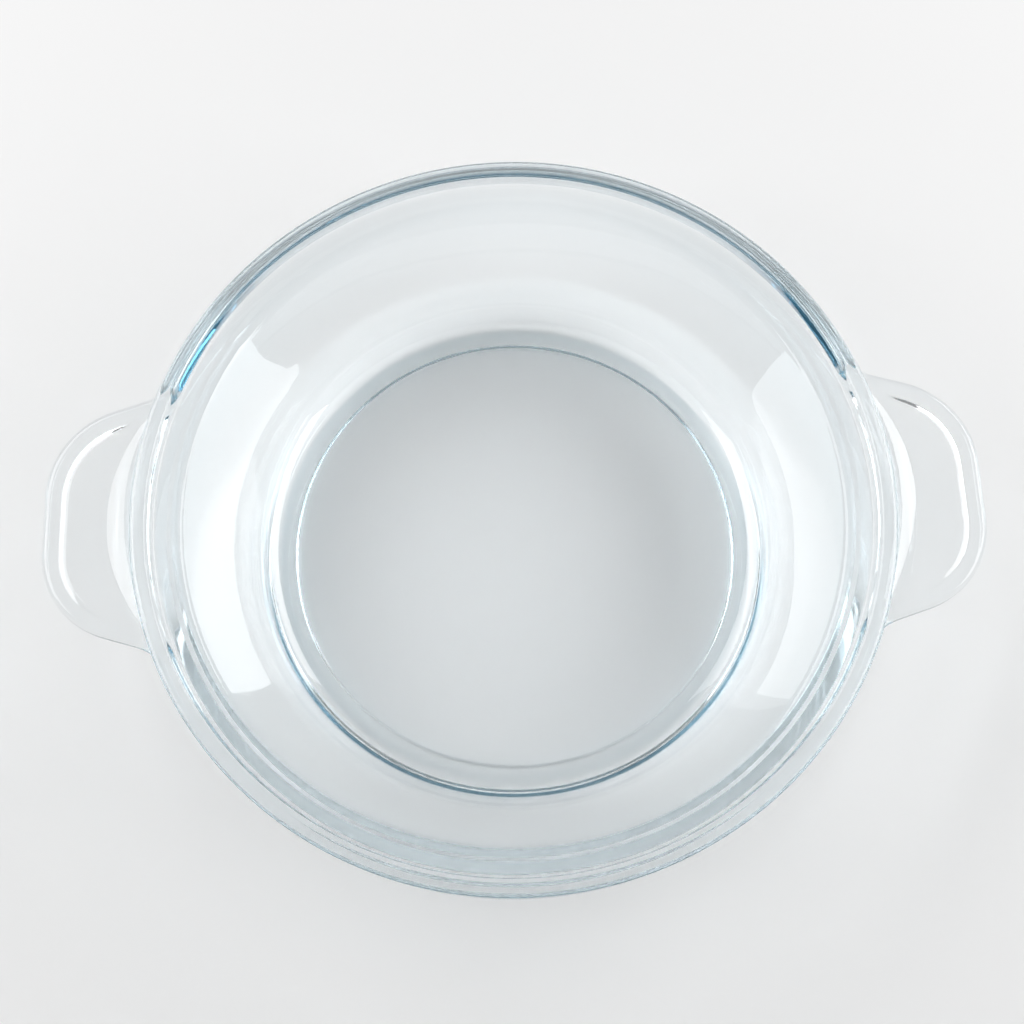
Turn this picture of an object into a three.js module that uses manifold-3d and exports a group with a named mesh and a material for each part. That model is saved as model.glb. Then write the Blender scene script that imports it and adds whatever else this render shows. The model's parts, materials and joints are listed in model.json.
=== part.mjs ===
// Round pressed-glass casserole dish, open at the top, with a lid seat inside its rim and two grip handles.
// Millimetres, +Z up. The origin is the centre of the foot's underside, and the handles point along X.
import * as THREE from 'three';
import { mergeVertices } from 'three/addons/utils/BufferGeometryUtils.js';
import Module from 'manifold-3d';

const wasm = await Module();
wasm.setup();

// Driving dimensions of the bowl
const rimRadius = 110;
const rimThickness = 5;
const dishHeight = 53;
const ledgeDepth = 5.8;
const floorTop = 6;
const footHeight = 1;
const wallThickness = 4.1;
const ledgeInnerRadius = 96.4;
const floorCornerRadius = 76.2;

// Driving dimensions of the handles
const handleReach = 136.5;
const handleRootHalfWidth = 38.8;
const handleTipHalfWidth = 28.5;
const handleCornerRadius = 27;
const handleDrop = 5;
const handleThickness = 5.6;
const handleBorderWidth = 6.5;
const handleRecessDepth = 1.1;

// Rounding radii
const rimRounding = 1.8;
const collarRootFillet = 1.2;
const ledgeRounding = 3.2;
const flangeRounding = 2.2;
const coneBend = 12;
const coneEdgeRounding = 0.8;
const floorFillet = 14;
const heelRounding = 5;
const handleEdgeRounding = 2.4;

// Crescent cove that leads each handle's top up to the collar
const coveArcRadius = 50;
const coveWidth = 7.6;
const coveHeight = 3;
const coveBend = [0.35, 0.45];

// Smaller sizes of the moulding
const collarDraft = 0.6;
const ledgeStepRadius = 100.4;
const ledgeStepWidth = 1.2;
const ledgeStepDepth = 0.6;
const flangeThickness = 6.4;
const coneStart = 18.5;
const coneEdgeRadius = 107;
const basePanelRadius = 67;
const heelSplit = 15;
const wallSplit = 36.8;
const footInnerRadius = 69;
const footEdgeSlope = 1.2;
const handleGap = 0.3;

// Fineness of the round forms
const turnSegments = 72;
const arcStep = Math.PI / 12;
const handleEdgeSteps = 4;
const coveSteps = 5;

// Levels and radii worked out from the sizes above
const ledgeTop = dishHeight - ledgeDepth;
const lowerLedge = ledgeTop - ledgeStepDepth;
const flangeBottom = ledgeTop - flangeThickness;
const handleTop = dishHeight - handleDrop;
const handleBottom = handleTop - handleThickness;
const collarSplit = handleTop;
const collarTopRadius = rimRadius - rimThickness;
const collarRootRadius = collarTopRadius - collarDraft;
const wallSlope = (ledgeInnerRadius - floorCornerRadius) / (lowerLedge - floorTop);
const wallOffset = wallThickness * Math.hypot(1, wallSlope);
const handleRootX = Math.sqrt(rimRadius ** 2 - handleRootHalfWidth ** 2);
const handleSlope = (handleTipHalfWidth - handleRootHalfWidth) / (handleReach - handleRootX);
const handleInnerX = handleRootX - handleBorderWidth;
const coveCentreX = rimRadius + coveWidth - coveArcRadius;

const innerWallRadius = (z) => floorCornerRadius + wallSlope * (z - floorTop);
const outerWallRadius = (z) => innerWallRadius(z) + wallOffset;
const coneSlope = (coneEdgeRadius - outerWallRadius(coneStart)) / (flangeBottom - coneStart);
const coneRadius = (z) => coneEdgeRadius - coneSlope * (flangeBottom - z);
const collarInnerRadius = (z) => collarRootRadius + collarDraft * (z - ledgeTop) / ledgeDepth;

// Closed outline through corners [x, y, radius], each corner rounded by an arc of its radius
function roundedOutline(corners) {
  const points = [];
  corners.forEach(([x, y, radius = 0], index) => {
    const corner = new THREE.Vector2(x, y);
    if (radius === 0) {
      points.push(corner);
      return;
    }
    const before = corners.at(index - 1);
    const after = corners[(index + 1) % corners.length];
    const toBefore = new THREE.Vector2(before[0], before[1]).sub(corner).normalize();
    const toAfter = new THREE.Vector2(after[0], after[1]).sub(corner).normalize();
    const halfAngle = Math.acos(toBefore.dot(toAfter)) / 2;
    const start = corner.clone().addScaledVector(toBefore, radius / Math.tan(halfAngle));
    const toCentre = toBefore.clone().add(toAfter).setLength(radius / Math.sin(halfAngle));
    const centre = corner.clone().add(toCentre);
    const sweep = (Math.PI - 2 * halfAngle) * Math.sign(toAfter.cross(toBefore));
    const steps = Math.max(2, Math.round(Math.abs(sweep) / arcStep));
    for (let step = 0; step <= steps; step += 1) {
      points.push(start.clone().rotateAround(centre, sweep * step / steps));
    }
  });
  return points;
}

// Ring turned about Z from a closed outline of points, each a radius and a height
function turnedRing(outline) {
  return new THREE.LatheGeometry([...outline, outline[0]], turnSegments).rotateX(Math.PI / 2);
}

// Solid disc turned about Z
function turnedDisc(radius, bottom, top) {
  const outline = [[0, bottom], [radius, bottom], [radius, top], [0, top]];
  const points = outline.map(([r, z]) => new THREE.Vector2(r, z));
  return new THREE.LatheGeometry(points, turnSegments).rotateX(Math.PI / 2);
}

// Level plate between two heights, with its edges rounded where a radius is given
function levelPlate(corners, bottom, top, rounding = 0) {
  const shape = new THREE.Shape(roundedOutline(corners));
  const plate = new THREE.ExtrudeGeometry(shape, {
    depth: top - bottom - 2 * rounding,
    bevelEnabled: rounding > 0,
    bevelThickness: rounding,
    bevelSize: rounding,
    bevelOffset: -rounding,
    bevelSegments: handleEdgeSteps,
  });
  return plate.translate(0, 0, bottom + rounding);
}

function toSolid(geometry) {
  geometry.deleteAttribute('normal');
  geometry.deleteAttribute('uv');
  const merged = mergeVertices(geometry);
  return new wasm.Manifold(new wasm.Mesh({
    numProp: 3,
    vertProperties: new Float32Array(merged.getAttribute('position').array),
    triVerts: new Uint32Array(merged.getIndex().array),
  }));
}

function toGeometry(solid) {
  const mesh = solid.getMesh();
  const geometry = new THREE.BufferGeometry();
  geometry.setAttribute('position', new THREE.BufferAttribute(mesh.vertProperties, 3));
  geometry.setIndex(new THREE.BufferAttribute(mesh.triVerts, 1));
  geometry.computeVertexNormals();
  return geometry;
}

function clearGlass() {
  return new THREE.MeshStandardMaterial({
    color: 0xd9e8ea,
    roughness: 0.03,
    metalness: 0,
    transparent: true,
    opacity: 0.35,
  });
}

// Flat round floor of the dish
function basePanel() {
  return turnedDisc(basePanelRadius, footHeight, floorTop);
}

// Raised ring under the base that the dish stands on, with sloping edges
function footRing() {
  const heelTangent = heelRounding * Math.tan((Math.PI / 2 - Math.atan(wallSlope)) / 2);
  const footOuterRadius = outerWallRadius(footHeight) - heelTangent;
  return turnedRing(roundedOutline([
    [footInnerRadius, footHeight],
    [footInnerRadius + footEdgeSlope, 0],
    [footOuterRadius - footEdgeSlope, 0],
    [footOuterRadius, footHeight],
  ]));
}

// Curved ring that joins the floor to the wall, with the floor fillet inside and the heel outside
function heelRing() {
  return turnedRing(roundedOutline([
    [basePanelRadius, footHeight],
    [outerWallRadius(footHeight), footHeight, heelRounding],
    [outerWallRadius(heelSplit), heelSplit],
    [innerWallRadius(heelSplit), heelSplit],
    [floorCornerRadius, floorTop, floorFillet],
    [basePanelRadius, floorTop],
  ]));
}

// Flaring side wall, straight inside, whose outside widens in a cone towards the flange
function sideWall() {
  return turnedRing(roundedOutline([
    [outerWallRadius(heelSplit), heelSplit],
    [outerWallRadius(coneStart), coneStart, coneBend],
    [coneRadius(wallSplit), wallSplit],
    [innerWallRadius(wallSplit), wallSplit],
    [innerWallRadius(heelSplit), heelSplit],
  ]));
}

// Flange at the top of the wall, whose level inner ledge carries a lid above a shallow step
function lidSeat() {
  return turnedRing(roundedOutline([
    [coneRadius(wallSplit), wallSplit],
    [coneEdgeRadius, flangeBottom, coneEdgeRounding],
    [rimRadius, flangeBottom, flangeRounding],
    [rimRadius, collarSplit],
    [collarInnerRadius(collarSplit), collarSplit],
    [collarRootRadius, ledgeTop, collarRootFillet],
    [ledgeStepRadius, ledgeTop],
    [ledgeStepRadius - ledgeStepWidth, lowerLedge],
    [ledgeInnerRadius, lowerLedge, ledgeRounding],
    [innerWallRadius(wallSplit), wallSplit],
  ]));
}

// Upright collar round the lid seat, with a rounded lip
function rimCollar() {
  return turnedRing(roundedOutline([
    [rimRadius, collarSplit],
    [rimRadius, dishHeight, rimRounding],
    [collarTopRadius, dishHeight, rimRounding],
    [collarInnerRadius(collarSplit), collarSplit],
  ]));
}

// Plan of the right handle from a line inside the rim, drawn in by an inset on its three free sides
function handlePlan(inset) {
  const outerX = handleReach - inset;
  const sideInset = inset * Math.hypot(1, handleSlope);
  const halfWidth = (x) => handleRootHalfWidth + handleSlope * (x - handleRootX) - sideInset;
  const radius = handleCornerRadius - inset;
  return [
    [handleInnerX, -halfWidth(handleInnerX)],
    [outerX, -halfWidth(outerX), radius],
    [outerX, halfWidth(outerX), radius],
    [handleInnerX, halfWidth(handleInnerX)],
  ];
}

// Round hollow-sided step whose outer edge is the cove's crescent, wider than the cove at its middle
function coveStep() {
  const crest = coveArcRadius - coveWidth;
  const middle = (handleTop + handleBottom) / 2;
  const slope = new THREE.QuadraticBezierCurve(
    new THREE.Vector2(coveArcRadius, handleTop),
    new THREE.Vector2(crest + coveBend[0] * coveWidth, handleTop + coveBend[1] * coveHeight),
    new THREE.Vector2(crest, handleTop + coveHeight),
  );
  const outline = [
    new THREE.Vector2(0, middle),
    new THREE.Vector2(coveArcRadius, middle),
    ...slope.getPoints(coveSteps),
    new THREE.Vector2(0, handleTop + coveHeight),
  ];
  const step = new THREE.LatheGeometry(outline, turnSegments).rotateX(Math.PI / 2);
  return step.translate(coveCentreX, 0, 0);
}

// Shallow hollow under the handle, inside its thicker border
function handleRecess() {
  const below = handleBottom - handleThickness;
  const block = toSolid(levelPlate(handlePlan(handleBorderWidth), below, handleBottom + handleRecessDepth));
  return block.subtract(toSolid(turnedDisc(rimRadius + handleBorderWidth, 0, dishHeight)));
}

// Right-hand grip handle: a rounded plate with a cove at its root and a shallow recess underneath
function gripHandle() {
  const plate = toSolid(levelPlate(handlePlan(0), handleBottom, handleTop, handleEdgeRounding));
  const coveLimit = toSolid(levelPlate(handlePlan(handleEdgeRounding), handleBottom, dishHeight));
  const cove = toSolid(coveStep()).intersect(coveLimit);
  const bowl = toSolid(turnedDisc(rimRadius + handleGap, 0, dishHeight));
  return toGeometry(plate.add(cove).subtract(handleRecess()).subtract(bowl));
}

const dish = new THREE.Group();

function addPiece(name, geometry, turn = 0) {
  const piece = new THREE.Mesh(geometry, clearGlass());
  piece.name = name;
  piece.rotation.z = turn;
  dish.add(piece);
}

addPiece('base_panel', basePanel());
addPiece('foot_ring', footRing());
addPiece('heel_ring', heelRing());
addPiece('side_wall', sideWall());
addPiece('lid_seat', lidSeat());
addPiece('rim_collar', rimCollar());
addPiece('right_handle', gripHandle());
addPiece('left_handle', gripHandle(), Math.PI);

export default dish;
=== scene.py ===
"""Round pressed-glass casserole dish with a stepped rim and two grip handles, on a pale floor.

The glass is one closed moulding, swept round the dish's axis column by column from a rounded profile.
Lengths are in millimetres until the mesh is made, and those of the stage, lights and camera in metres.
"""
import json
import math

import bmesh
import bpy
import numpy as np
from mathutils import Matrix, Vector


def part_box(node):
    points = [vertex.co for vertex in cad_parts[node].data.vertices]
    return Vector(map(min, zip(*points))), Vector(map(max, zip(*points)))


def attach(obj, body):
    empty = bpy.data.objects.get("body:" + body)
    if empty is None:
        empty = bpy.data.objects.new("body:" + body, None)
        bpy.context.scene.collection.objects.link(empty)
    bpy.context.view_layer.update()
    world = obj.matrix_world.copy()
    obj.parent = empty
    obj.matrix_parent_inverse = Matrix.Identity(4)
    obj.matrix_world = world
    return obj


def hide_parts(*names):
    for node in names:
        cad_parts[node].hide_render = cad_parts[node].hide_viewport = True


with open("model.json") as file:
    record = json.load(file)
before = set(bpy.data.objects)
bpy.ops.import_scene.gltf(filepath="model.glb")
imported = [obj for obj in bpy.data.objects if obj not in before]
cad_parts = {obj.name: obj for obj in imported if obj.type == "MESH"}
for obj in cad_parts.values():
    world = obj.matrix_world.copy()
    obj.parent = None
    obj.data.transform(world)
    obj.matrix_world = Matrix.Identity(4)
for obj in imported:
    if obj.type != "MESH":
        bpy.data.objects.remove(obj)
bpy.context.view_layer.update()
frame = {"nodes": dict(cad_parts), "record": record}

MM = 0.001


def node_box(node):
    """Lowest and highest corner of a CAD node, in millimetres."""
    low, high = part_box(node)
    return np.array(low) / MM, np.array(high) / MM


def mount_height(name):
    """Height of one of the record's mounts, in millimetres."""
    return next(mount["pos_m"][2] for mount in frame["record"]["mounts"] if mount["name"] == name) / MM


# Sizes read from the frame
RIM_RADIUS = node_box("rim_collar")[1][0]
RIM_TOP = node_box("rim_collar")[1][2]
HANDLE_TOP = node_box("rim_collar")[0][2]
HANDLE_BOTTOM = node_box("right_handle")[0][2]
HANDLE_REACH = node_box("right_handle")[1][0]
FLOOR_TOP = node_box("base_panel")[1][2]
FOOT_HEIGHT = node_box("base_panel")[0][2]
LEDGE_TOP = mount_height("lid_ledge")

# Sizes of the bowl that no box gives
RIM_THICKNESS = 5.0
RIM_ROUNDING = 1.8
COLLAR_DRAFT = 0.6
COLLAR_ROOT_FILLET = 1.2
LEDGE_INNER_RADIUS = 96.4
LEDGE_ROUNDING = 3.2
LEDGE_STEP_RADIUS = 100.4
LEDGE_STEP_WIDTH = 1.2
LEDGE_STEP_DEPTH = 0.6
LEDGE_STEP_ROUNDING = 0.5
FLANGE_THICKNESS = 6.4
FLANGE_START_RADIUS = 107.5
CONE_START = 18.5
CONE_BEND = 12.0
CONE_EDGE_RADIUS = 107.0
CONE_EDGE_ROUNDING = 0.8
WALL_THICKNESS = 4.1
FLOOR_CORNER_RADIUS = 76.2
FLOOR_FILLET = 14.0
HEEL_ROUNDING = 5.0
FOOT_INNER_RADIUS = 69.0
FOOT_STEP_WIDTH = 1.2
FOOT_ROUNDING = 0.8

# Sizes of the handles
HANDLE_ROOT_HALF_WIDTH = 38.8
HANDLE_TIP_HALF_WIDTH = 28.5
HANDLE_CORNER_RADIUS = 27.0
HANDLE_JUNCTION_BLEND = 5.0
HANDLE_OVERLAP = 15.6
EDGE_ROUNDING = 2.4
BORDER_WIDTH = 5.2
BORDER_STEP = 2.6
RECESS_DEPTH = 1.1
COVE_ARC_RADIUS = 50.0
COVE_WIDTH = 7.6
COVE_HEIGHT = 3.0
COVE_STRAIGHT_SHARE = 0.65

# Unevenness that pressing leaves in the glass
RIPPLE_HEIGHT = 0.02
RIPPLE_WAVES = (83, 97, 109)
RIPPLE_LEVEL = 20.0
RIPPLE_SPREAD = 6.0
RIPPLE_FOCUS = 3
FLOOR_WAVE_HEIGHT = 0.03
FLOOR_WAVE_LENGTH = 110.0
CROSS_WAVE_SHARE = 0.5
CROSS_WAVE_RATE = 1.5

# Look of the glass
GLASS_IOR = 1.47
GLASS_TINT = (0.42, 0.68, 0.78, 1)
GLASS_TINT_DENSITY = 13.0

# Stage and light, with radiance in multiples of that of a white surface in the picture
STAGE_HALF_SIZE = 6.0
STAGE_GAP = 0.0002
STAGE_COLOUR = (0.9, 0.9, 0.9, 1)
SOFTBOX_DISTANCE = 1.2
ROOM_RADIANCE = 0.32

# Fineness of the mesh: columns round the dish, turn of one arc step, and longest straight steps
COLUMNS = 720
ARC_STEP = math.radians(6)
LEAST_ARC_STEPS = 4
INSIDE_STEP = 9.0
OUTSIDE_STEP = 5.0
PLAN_STEP = 0.5

# Lengths so small that they count as nothing
MERGE_DISTANCE = 2e-3
LEAST_EDGE = 1e-4
LEAST_WIDTH = 1e-3

# Rows of points down the collar and across a handle
COLLAR_ROWS = 3
COVE_ROWS = 9
PLATE_ROWS = 5
BORDER_ROWS = 12
EDGE_ROWS = 10

# Shares of the way over the cove, and of the way on to the edge, at which those rows change their spacing
COVE_CREASE_SHARE = 0.04
BORDER_SHARE = 0.5
EDGE_SHARE = 0.85

# Levels and radii worked out from the sizes above
LOWER_LEDGE = LEDGE_TOP - LEDGE_STEP_DEPTH
FLANGE_BOTTOM = LEDGE_TOP - FLANGE_THICKNESS
COLLAR_TOP_RADIUS = RIM_RADIUS - RIM_THICKNESS
COLLAR_ROOT_RADIUS = COLLAR_TOP_RADIUS - COLLAR_DRAFT
WALL_SLOPE = (LEDGE_INNER_RADIUS - FLOOR_CORNER_RADIUS) / (LOWER_LEDGE - FLOOR_TOP)
WALL_OFFSET = WALL_THICKNESS * math.hypot(1, WALL_SLOPE)


def outer_wall_radius(z):
    """Radius of the outside of the wall below its cone, where it is parallel to the inside."""
    return FLOOR_CORNER_RADIUS + WALL_SLOPE * (z - FLOOR_TOP) + WALL_OFFSET


def smooth_step(value):
    """0 below a value of 0, 1 above a value of 1, and a smooth curve between them."""
    t = np.clip(value, 0.0, 1.0)
    return t * t * (3 - 2 * t)


def soft_limit(distance, width):
    """Smooth change from 0 to 1 over a band of the given width that is centred on a distance of 0."""
    return smooth_step(distance / width + 0.5)


def rounded_path(corners):
    """Points along an open path through corners (x, y, radius), with each corner rounded by an arc."""
    points = []
    for index, (x, y, radius) in enumerate(corners):
        corner = np.array([x, y])
        if radius == 0:
            points.append(corner)
            continue
        to_before = np.array(corners[index - 1][:2]) - corner
        to_after = np.array(corners[index + 1][:2]) - corner
        to_before /= np.hypot(*to_before)
        to_after /= np.hypot(*to_after)
        half_angle = math.acos(np.dot(to_before, to_after)) / 2
        bisector = (to_before + to_after) / np.hypot(*(to_before + to_after))
        centre = corner + bisector * radius / math.sin(half_angle)
        start = corner + to_before * radius / math.tan(half_angle) - centre
        side = to_after[0] * to_before[1] - to_after[1] * to_before[0]
        turn = math.copysign(math.pi - 2 * half_angle, side)
        steps = max(LEAST_ARC_STEPS, round(abs(turn) / ARC_STEP))
        for angle in np.linspace(0, turn, steps + 1):
            cos, sin = math.cos(angle), math.sin(angle)
            points.append(centre + np.array([[cos, -sin], [sin, cos]]) @ start)
    return np.array(points)


def refined(path, longest):
    """The same path with extra points, so that no straight stretch is longer than the given length."""
    points = [path[0]]
    for start, end in zip(path[:-1], path[1:]):
        pieces = max(1, math.ceil(np.hypot(*(end - start)) / longest))
        points += [start + (end - start) * k / pieces for k in range(1, pieces + 1)]
    return np.array(points)


# Profile of the bowl
def inside_profile():
    """Radii and heights from the centre of the floor over the rim to the start of the collar's outside."""
    path = rounded_path([
        (0, FLOOR_TOP, 0),
        (FLOOR_CORNER_RADIUS, FLOOR_TOP, FLOOR_FILLET),
        (LEDGE_INNER_RADIUS, LOWER_LEDGE, LEDGE_ROUNDING),
        (LEDGE_STEP_RADIUS - LEDGE_STEP_WIDTH, LOWER_LEDGE, LEDGE_STEP_ROUNDING),
        (LEDGE_STEP_RADIUS, LEDGE_TOP, LEDGE_STEP_ROUNDING),
        (COLLAR_ROOT_RADIUS, LEDGE_TOP, COLLAR_ROOT_FILLET),
        (COLLAR_TOP_RADIUS, RIM_TOP, RIM_ROUNDING),
        (RIM_RADIUS, RIM_TOP, RIM_ROUNDING),
        (RIM_RADIUS, HANDLE_TOP, 0),
    ])
    return refined(path[:-1], INSIDE_STEP)


def outside_profile():
    """Radii and heights from under the flange down the wall to the centre of the underside."""
    path = rounded_path([
        (FLANGE_START_RADIUS, FLANGE_BOTTOM, 0),
        (CONE_EDGE_RADIUS, FLANGE_BOTTOM, CONE_EDGE_ROUNDING),
        (outer_wall_radius(CONE_START), CONE_START, CONE_BEND),
        (outer_wall_radius(0), 0, HEEL_ROUNDING),
        (FOOT_INNER_RADIUS + FOOT_STEP_WIDTH, 0, FOOT_ROUNDING),
        (FOOT_INNER_RADIUS, FOOT_HEIGHT, FOOT_ROUNDING),
        (0, FOOT_HEIGHT, 0),
    ])
    return refined(path, OUTSIDE_STEP)


# Plan of the rim and handles
def handle_plan():
    """Path of the right handle's plan, from inside the rim round the tip and back inside the rim."""
    root_x = math.sqrt(RIM_RADIUS**2 - HANDLE_ROOT_HALF_WIDTH**2)
    slope = (HANDLE_TIP_HALF_WIDTH - HANDLE_ROOT_HALF_WIDTH) / (HANDLE_REACH - root_x)
    inner_x = root_x - HANDLE_OVERLAP
    inner_half_width = HANDLE_ROOT_HALF_WIDTH - slope * HANDLE_OVERLAP
    path = rounded_path([
        (inner_x, inner_half_width, 0),
        (HANDLE_REACH, HANDLE_TIP_HALF_WIDTH, HANDLE_CORNER_RADIUS),
        (HANDLE_REACH, -HANDLE_TIP_HALF_WIDTH, HANDLE_CORNER_RADIUS),
        (inner_x, -inner_half_width, 0),
    ])
    return refined(path, PLAN_STEP)


def angle_from_handle(angles):
    """Angle between each column and the middle of the nearer handle."""
    return np.abs((angles + math.pi / 2) % math.pi - math.pi / 2)


def edge_radius(angles):
    """Radius of the outer edge of the rim and handles, blended smoothly where a handle leaves the rim."""
    plan = handle_plan()
    plan_angle = np.arctan2(plan[:, 1], plan[:, 0])
    plan_radius = np.hypot(plan[:, 0], plan[:, 1])
    order = np.argsort(plan_angle)
    handle = np.interp(angle_from_handle(angles), plan_angle[order], plan_radius[order], right=0.0)
    gap = np.abs(handle - RIM_RADIUS)
    blend = np.clip(HANDLE_JUNCTION_BLEND - gap, 0, None) ** 2 / (4 * HANDLE_JUNCTION_BLEND)
    return np.maximum(handle, RIM_RADIUS) + blend


def distance_to_edge(radius, angles, reach):
    """Distance in plan from the points of each column to the closed outer edge of the rim and handles."""
    x = radius * np.cos(angles)[:, None]
    y = radius * np.sin(angles)[:, None]
    edge = np.stack([reach * np.cos(angles), reach * np.sin(angles)], axis=1)
    along = np.roll(edge, -1, axis=0) - edge
    nearest = np.full(radius.shape, np.inf)
    for point, step in zip(edge, along):
        t = np.clip(((x - point[0]) * step[0] + (y - point[1]) * step[1]) / (step @ step), 0, 1)
        gap = np.hypot(x - point[0] - t * step[0], y - point[1] - t * step[1])
        nearest = np.minimum(nearest, gap)
    return nearest


def edge_drop(distance):
    """How far a rounded edge falls below its flat, by the distance from the edge."""
    inward = np.clip(EDGE_ROUNDING - distance, 0, EDGE_ROUNDING)
    return EDGE_ROUNDING - np.sqrt(EDGE_ROUNDING**2 - inward**2)


# Flange's outer part and the handles
def cove_width(angles, reach):
    """Width of the crescent cove at the collar's foot in each column."""
    from_handle = angle_from_handle(angles)
    centre = RIM_RADIUS + COVE_WIDTH - COVE_ARC_RADIUS
    inside = COVE_ARC_RADIUS**2 - (centre * np.sin(from_handle)) ** 2
    arc = centre * np.cos(from_handle) + np.sqrt(np.clip(inside, 0, None))
    return np.clip(arc - RIM_RADIUS, 0, (reach - RIM_RADIUS) / 2)


def handle_shares(cove_share):
    """Shares of the way from the collar to the edge, close together in the cove, border and edge."""
    cove_end = cove_share[:, None]
    cove = np.append(np.linspace(0, 1 - COVE_CREASE_SHARE, COVE_ROWS), 1 + COVE_CREASE_SHARE)
    plate = np.linspace(2 * COVE_CREASE_SHARE, BORDER_SHARE, PLATE_ROWS)
    border = np.linspace(BORDER_SHARE, EDGE_SHARE, BORDER_ROWS + 1)[1:]
    quarter_turn = np.linspace(0, math.pi / 2, EDGE_ROWS + 1)[1:]
    edge = EDGE_SHARE + (1 - EDGE_SHARE) * np.sin(quarter_turn)
    beyond = np.concatenate([plate, border, edge])
    return np.hstack([cove * cove_end, cove_end + beyond * (1 - cove_end)])


def handle_top(angles, reach, shares, cove):
    """Radius and height of the handles' top, from the collar's foot over the cove to the edge."""
    radius = RIM_RADIUS + (reach - RIM_RADIUS)[:, None] * shares
    from_edge = distance_to_edge(radius, angles, reach)
    left_of_cove = np.clip(1 - (radius - RIM_RADIUS) / np.maximum(cove, LEAST_WIDTH)[:, None], 0, 1)
    bend = COVE_STRAIGHT_SHARE * left_of_cove + (1 - COVE_STRAIGHT_SHARE) * left_of_cove**3
    full_rise = (COVE_HEIGHT * cove / COVE_WIDTH)[:, None]
    rise = full_rise * bend * smooth_step(from_edge / EDGE_ROUNDING)
    return radius, HANDLE_TOP - edge_drop(from_edge) + rise


def handle_underside(angles, reach, shares):
    """Radius and height of the underside with its recess, from the handles' edge back to the flange."""
    radius = FLANGE_START_RADIUS + (reach - FLANGE_START_RADIUS)[:, None] * shares[:, ::-1]
    from_edge = distance_to_edge(radius, angles, reach)
    from_rim = radius - RIM_RADIUS
    on_handle = smooth_step((reach - RIM_RADIUS) / (2 * EDGE_ROUNDING))[:, None]
    lift = (HANDLE_BOTTOM - FLANGE_BOTTOM) * on_handle * soft_limit(from_rim, 2 * EDGE_ROUNDING)
    inside_border = soft_limit(from_edge - BORDER_WIDTH, BORDER_STEP)
    recess = RECESS_DEPTH * inside_border * soft_limit(from_rim - BORDER_WIDTH, BORDER_STEP)
    return radius, FLANGE_BOTTOM + lift + recess + edge_drop(from_edge)


def shelf_grid(angles):
    """Radius and height of the flange's outer part and the handles in each column, from the collar's foot
    over the handle's top, round its edge and back along the underside to the flange."""
    reach = edge_radius(angles)
    cove = cove_width(angles, reach)
    shares = handle_shares(cove / np.maximum(reach - RIM_RADIUS, LEAST_WIDTH))
    top_radius, top_height = handle_top(angles, reach, shares, cove)
    under_radius, under_height = handle_underside(angles, reach, shares)
    return np.hstack([top_radius, under_radius]), np.hstack([top_height, under_height])


# Unevenness of the glass
def wall_ripple(angles, z):
    """Faint upright ripples that a cold mould leaves on the outside of the far wall."""
    waves = sum(np.sin(count * angles + count) for count in RIPPLE_WAVES)
    on_far_wall = np.clip(np.sin(angles), 0, 1) ** RIPPLE_FOCUS
    return RIPPLE_HEIGHT * waves * on_far_wall * np.exp(-(((z - RIPPLE_LEVEL) / RIPPLE_SPREAD) ** 2))


def floor_wave(x, y, radius):
    """Slow swell of the floor's top, gone at the fillet."""
    turn = 2 * math.pi / FLOOR_WAVE_LENGTH
    cross_wave = CROSS_WAVE_SHARE * np.sin(CROSS_WAVE_RATE * turn * (x + y))
    swell = np.sin(turn * x) * np.cos(turn * y) + cross_wave
    inside_fillet = (FLOOR_CORNER_RADIUS - FLOOR_FILLET - radius) / FLOOR_FILLET
    return FLOOR_WAVE_HEIGHT * swell * smooth_step(inside_fillet)


# The whole glass
def every_column(profile):
    """Radii and heights of a profile, repeated for every column."""
    return np.tile(profile[:, 0], (COLUMNS, 1)), np.tile(profile[:, 1], (COLUMNS, 1))


def glass_grid():
    """Points of the whole glass surface in millimetres, in columns from the floor's centre over the rim to
    the underside's centre."""
    angles = np.arange(COLUMNS) * 2 * math.pi / COLUMNS
    cos, sin = np.cos(angles)[:, None], np.sin(angles)[:, None]
    inside_radius, inside_height = every_column(inside_profile())
    outside_radius, outside_height = every_column(outside_profile()[1:])
    shelf_radius, shelf_height = shelf_grid(angles)

    collar_radius = np.full((COLUMNS, COLLAR_ROWS), RIM_RADIUS)
    collar_start, collar_end = inside_height[:, -1:], shelf_height[:, :1]
    down_collar = np.linspace(0, 1, COLLAR_ROWS + 2)[1:-1]
    collar_height = collar_start + (collar_end - collar_start) * down_collar

    inside_height = inside_height + floor_wave(inside_radius * cos, inside_radius * sin, inside_radius)
    outside_radius = outside_radius + wall_ripple(angles[:, None], outside_height)
    radius = np.hstack([inside_radius, collar_radius, shelf_radius, outside_radius])
    height = np.hstack([inside_height, collar_height, shelf_height, outside_height])
    return np.stack([radius * cos, radius * sin, height], axis=2)


def glass_mesh():
    """Closed smooth mesh of the glass, with the points that fall together at the centres and rim merged."""
    points = glass_grid() * MM
    columns, rows = points.shape[:2]
    number = np.arange(columns * rows).reshape(columns, rows)
    following = np.roll(number, -1, axis=0)
    quads = np.stack([number[:, :-1], following[:, :-1], following[:, 1:], number[:, 1:]], axis=2)
    mesh = bpy.data.meshes.new("dish_glass")
    mesh.from_pydata(points.reshape(-1, 3).tolist(), [], quads.reshape(-1, 4).tolist())
    work = bmesh.new()
    work.from_mesh(mesh)
    bmesh.ops.remove_doubles(work, verts=work.verts, dist=MERGE_DISTANCE * MM)
    bmesh.ops.dissolve_degenerate(work, edges=work.edges, dist=LEAST_EDGE * MM)
    bmesh.ops.recalc_face_normals(work, faces=work.faces)
    work.to_mesh(mesh)
    work.free()
    mesh.shade_smooth()
    return mesh


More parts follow.
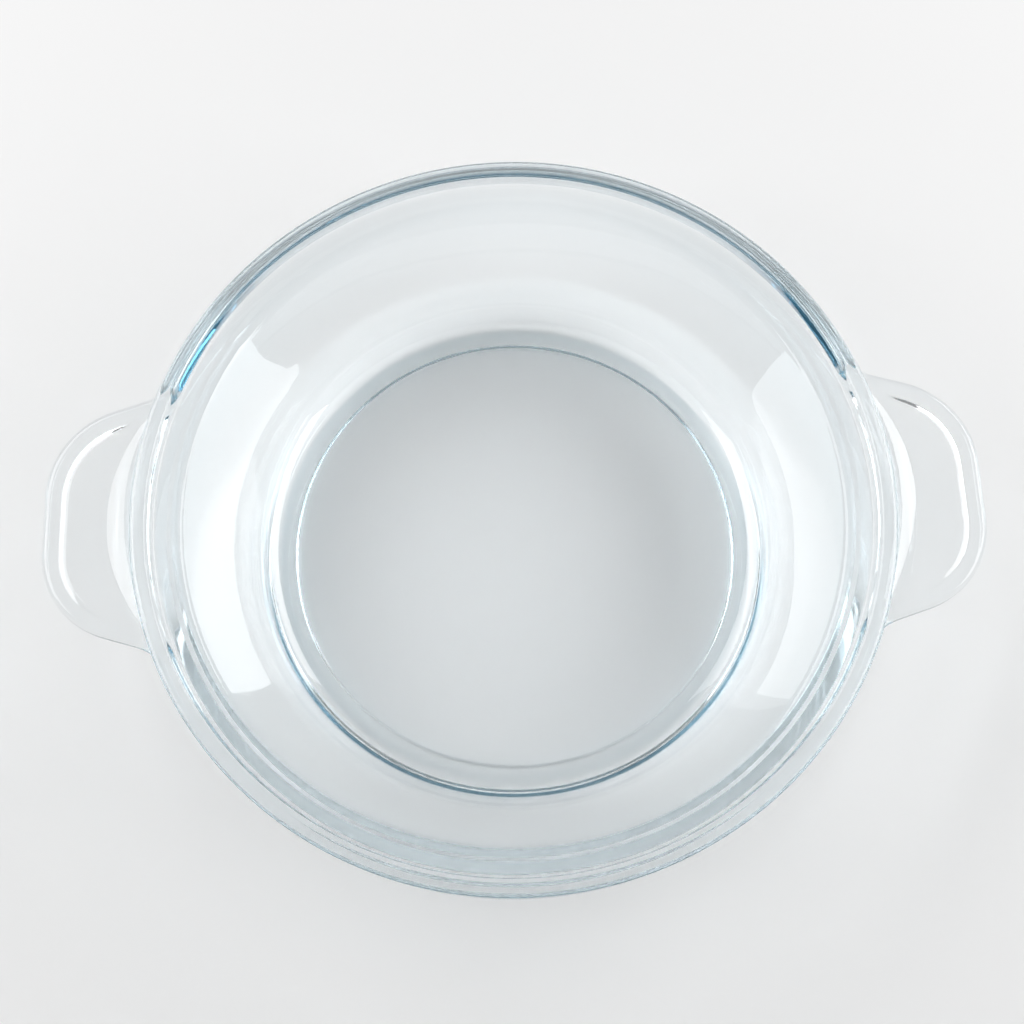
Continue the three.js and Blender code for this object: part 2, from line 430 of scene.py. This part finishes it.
def glass_material():
    """Clear glass with a faint blue-green in its depth."""
    material = bpy.data.materials.new("clear_glass")
    material.use_nodes = True
    nodes, links = material.node_tree.nodes, material.node_tree.links
    glass = nodes["Principled BSDF"]
    glass.inputs["Base Color"].default_value = (1, 1, 1, 1)
    glass.inputs["Roughness"].default_value = 0.0
    glass.inputs["IOR"].default_value = GLASS_IOR
    glass.inputs["Transmission Weight"].default_value = 1.0
    tint = nodes.new("ShaderNodeVolumeAbsorption")
    tint.inputs["Color"].default_value = GLASS_TINT
    tint.inputs["Density"].default_value = GLASS_TINT_DENSITY
    links.new(tint.outputs[0], nodes["Material Output"].inputs["Volume"])
    return material


def make_dish():
    """The glass, which stands in for every CAD node."""
    dish = bpy.data.objects.new("dish_glass", glass_mesh())
    bpy.context.scene.collection.objects.link(dish)
    dish.data.materials.append(glass_material())
    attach(dish, "root")
    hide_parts(*sorted(frame["nodes"]))


# Stage, light and camera
def pale_material():
    material = bpy.data.materials.new("pale_floor")
    material.use_nodes = True
    shader = material.node_tree.nodes["Principled BSDF"]
    shader.inputs["Base Color"].default_value = STAGE_COLOUR
    shader.inputs["Roughness"].default_value = 0.9
    shader.inputs["Specular IOR Level"].default_value = 0.0
    return material


def make_floor():
    """Pale square under the dish, a hair below the foot so that the two faces do not coincide."""
    half, level = STAGE_HALF_SIZE, -STAGE_GAP
    corners = [(-half, -half, level), (half, -half, level), (half, half, level), (-half, half, level)]
    mesh = bpy.data.meshes.new("floor")
    mesh.from_pydata(corners, [], [(0, 1, 2, 3)])
    mesh.materials.append(pale_material())
    floor = bpy.data.objects.new("floor", mesh)
    bpy.context.scene.collection.objects.link(floor)


def make_softbox(name, azimuth, elevation, size, radiance):
    """Rectangular lamp that faces the dish from a direction in degrees."""
    turn, rise = math.radians(azimuth), math.radians(elevation)
    direction = Vector((math.cos(turn) * math.cos(rise), math.sin(turn) * math.cos(rise), math.sin(rise)))
    lamp = bpy.data.lights.new(name, "AREA")
    lamp.shape = "RECTANGLE"
    lamp.size, lamp.size_y = size
    lamp.energy = radiance * math.pi * size[0] * size[1]
    holder = bpy.data.objects.new(name, lamp)
    bpy.context.scene.collection.objects.link(holder)
    holder.location = direction * SOFTBOX_DISTANCE
    holder.rotation_euler = direction.to_track_quat("Z", "Y").to_euler()
    holder.visible_camera = False


def make_lights():
    """A softbox on each side, which draw the bright patches on the walls, and an even room light."""
    make_softbox("softbox_left", azimuth=158, elevation=36, size=(1.3, 0.6), radiance=3.9)
    make_softbox("softbox_right", azimuth=13, elevation=31, size=(1.5, 0.4), radiance=5.5)
    world = bpy.data.worlds.new("studio")
    world.use_nodes = True
    background = world.node_tree.nodes["Background"]
    background.inputs["Color"].default_value = (1, 1, 1, 1)
    background.inputs["Strength"].default_value = ROOM_RADIANCE
    bpy.context.scene.world = world


def make_camera():
    """Camera at the photograph's viewing angle, fitted to the rim and handles in a 1024 by 1024 picture."""
    focal_pixels, picture_pixels = 1450.6, 1024
    elevation, azimuth, roll = math.radians(72.945), math.radians(0.508), math.radians(-2.576)
    distance = 0.41355
    target = Vector((-0.000192, -0.003533, RIM_TOP * MM))
    level = Vector((math.cos(azimuth), math.sin(azimuth), 0))
    ahead = Vector((-math.sin(azimuth), math.cos(azimuth), 0))
    back = Vector((0, 0, math.sin(elevation))) - ahead * math.cos(elevation)
    upright = back.cross(level)
    right = level * math.cos(roll) + upright * math.sin(roll)
    up = upright * math.cos(roll) - level * math.sin(roll)
    data = bpy.data.cameras.new("camera")
    data.sensor_width = 36.0
    data.lens = focal_pixels * data.sensor_width / picture_pixels
    data.clip_start = 0.01
    camera = bpy.data.objects.new("camera", data)
    bpy.context.scene.collection.objects.link(camera)
    turn = Matrix((right, up, back)).transposed().to_4x4()
    camera.matrix_world = Matrix.Translation(target + back * distance) @ turn
    bpy.context.scene.camera = camera


def set_render():
    """Plain colours, enough bounces for the light that is caught inside the rim, and sharp glass."""
    scene = bpy.context.scene
    scene.view_settings.view_transform = "Standard"
    scene.cycles.max_bounces = 64
    scene.cycles.transmission_bounces = 64
    scene.cycles.glossy_bounces = 48
    scene.cycles.blur_glossy = 0.0


set_render()
make_camera()
make_dish()
make_floor()
make_lights()
